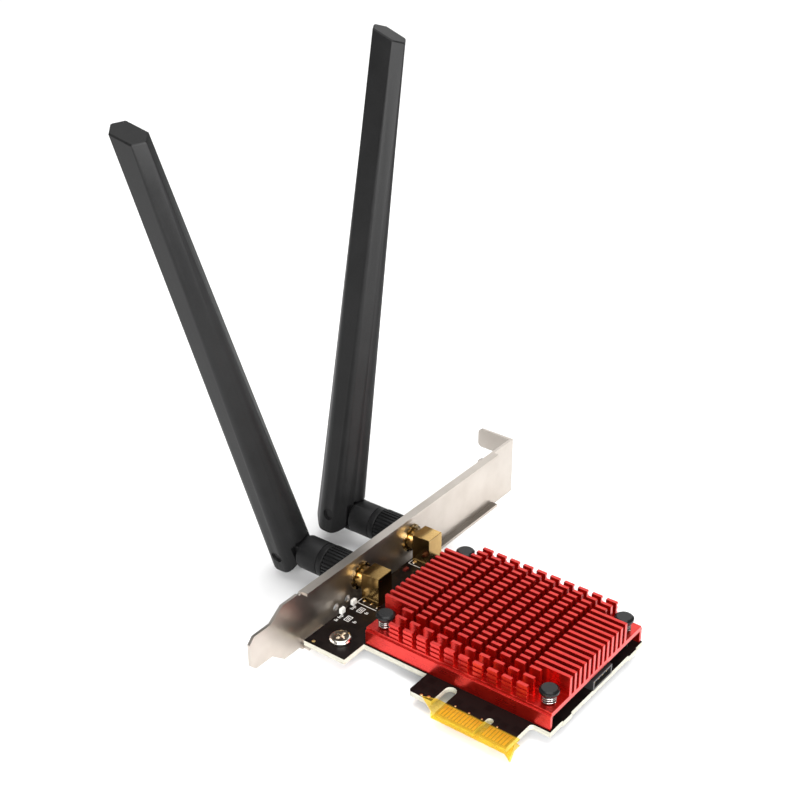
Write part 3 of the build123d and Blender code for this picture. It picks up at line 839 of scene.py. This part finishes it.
@dataclass(frozen=True)
class SoftBox:
    """One soft square light: its place and size in metres and its power in watts."""

    name: str
    place: Colour
    size: float
    power: float

    def build(self, target: Colour) -> None:
        """Adds the light.

        Args:
            target: The point that it faces.
        """
        data = bpy.data.lights.new(self.name, "AREA")
        data.shape = "SQUARE"
        data.size = self.size
        data.energy = self.power
        made = bpy.data.objects.new(self.name, data)
        aim = Vector(target) - Vector(self.place)
        turn = aim.to_track_quat("-Z", "Y").to_matrix().to_4x4()
        made.matrix_world = Matrix.Translation(Vector(self.place)) @ turn
        bpy.context.scene.collection.objects.link(made)


@dataclass
class Studio:
    """Plain pale floor, soft lights and the camera."""

    eye: Colour = (0.16185, -0.24250, 0.251325)
    azimuth: float = 37.3043
    elevation: float = 28.6557
    roll: float = -0.1693
    focal_px: float = 1549.575
    frame_px: float = 800.0
    sensor: float = 36.0
    clip: tuple[float, float] = (0.01, 20.0)
    ambient: float = 0.36
    middle: Colour = (-0.03, 0.03, 0.05)
    boxes: tuple[SoftBox, ...] = (
        SoftBox("overhead", (0.0, 0.05, 1.1), 1.0, 11.0),
        SoftBox("back_box", (-0.4, 1.35, 0.95), 1.1, 5.0),
        SoftBox("right_box", (1.1, -0.45, 0.3), 0.6, 21.0),
        SoftBox("front_box", (0.45, -0.85, 0.5), 0.7, 14.0),
    )
    floor_half: float = 4000.0
    floor_steps: int = 9
    floor_drop: float = 0.05
    floor_tones: tuple[Colour, Colour] = ((0.9, 0.9, 0.9), (0.93, 0.93, 0.93))

    def camera(self) -> None:
        """Places the camera: along the azimuth, down by the elevation, then rolled about its line of sight."""
        a, e, r = (math.radians(v) for v in (self.azimuth, self.elevation, self.roll))
        ahead = Vector((-math.sin(a) * math.cos(e), math.cos(a) * math.cos(e), -math.sin(e)))
        right = Vector((math.cos(a), math.sin(a), 0))
        up = right.cross(ahead)
        side = right * math.cos(r) + up * math.sin(r)
        top = up * math.cos(r) - right * math.sin(r)
        data = bpy.data.cameras.new("camera")
        data.sensor_width = self.sensor
        data.lens = self.focal_px * self.sensor / self.frame_px
        data.clip_start, data.clip_end = self.clip
        made = bpy.data.objects.new("camera", data)
        turn = Matrix((side, top, -ahead)).transposed().to_4x4()
        made.matrix_world = Matrix.Translation(Vector(self.eye)) @ turn
        bpy.context.scene.collection.objects.link(made)
        bpy.context.scene.camera = made

    def floor(self) -> None:
        """Lays the floor as one level sheet just under the lowest point."""
        low = CAD_BOX[0].z / MM
        u = np.linspace(-self.floor_half, self.floor_half, self.floor_steps)
        x, y = np.meshgrid(u, u, indexing="xy")
        made = surface("floor", np.stack([x, y, np.full_like(x, low - self.floor_drop)], -1))
        g = Graph("floor_white")
        paper = g.mix(g.noise(g.place(), 0.02, 3.0), *self.floor_tones)
        made.data.materials.append(g.surface(Base_Color=paper, Roughness=0.9, Specular_IOR_Level=0.1))

    def build(self) -> None:
        """Sets up world, lights, floor and camera."""
        scene = bpy.context.scene
        scene.view_settings.view_transform = "Standard"
        world = bpy.data.worlds.new("studio")
        world.use_nodes = True
        back = world.node_tree.nodes["Background"]
        back.inputs["Color"].default_value = (1.0, 1.0, 1.0, 1.0)
        back.inputs["Strength"].default_value = self.ambient
        scene.world = world
        for box in self.boxes:
            box.build(self.middle)
        self.floor()
        self.camera()


def main() -> None:
    """Builds and dresses the card, then the studio."""
    logging.basicConfig(level=logging.INFO, format="%(name)s: %(message)s")
    # Coil springs: a darker copy of the bright steel, painted shade and painted dark reflection for the coils
    # hidden under the pin heads.
    spring = Plated("spring_steel_painted_shade", (0.16, 0.155, 0.15), (0.36, 0.35, 0.34), 0.16, (1.0, 1.0, 0.1))
    # Toothed washers: gold plating, darkened below the jack gold as painted shade where they sit squeezed
    # between the jack bodies and the bracket.
    washer = Plated("washer_gold_painted_shade", (0.14, 0.1, 0.05), (0.4, 0.29, 0.14), 0.16, (1.0, 1.0, 0.1))
    dresser = Dresser(make_finishes(), PrintedInk().material(), spring.material(), washer.material())
    dresser.nodes()
    EdgeWork().build()
    for corner in Corner:
        PinSpring(corner).build(dresser)
    ContactFilm().build(dresser)
    BoardMarks().build(dresser)
    Studio().build()


if __name__ == "__main__":
    main()
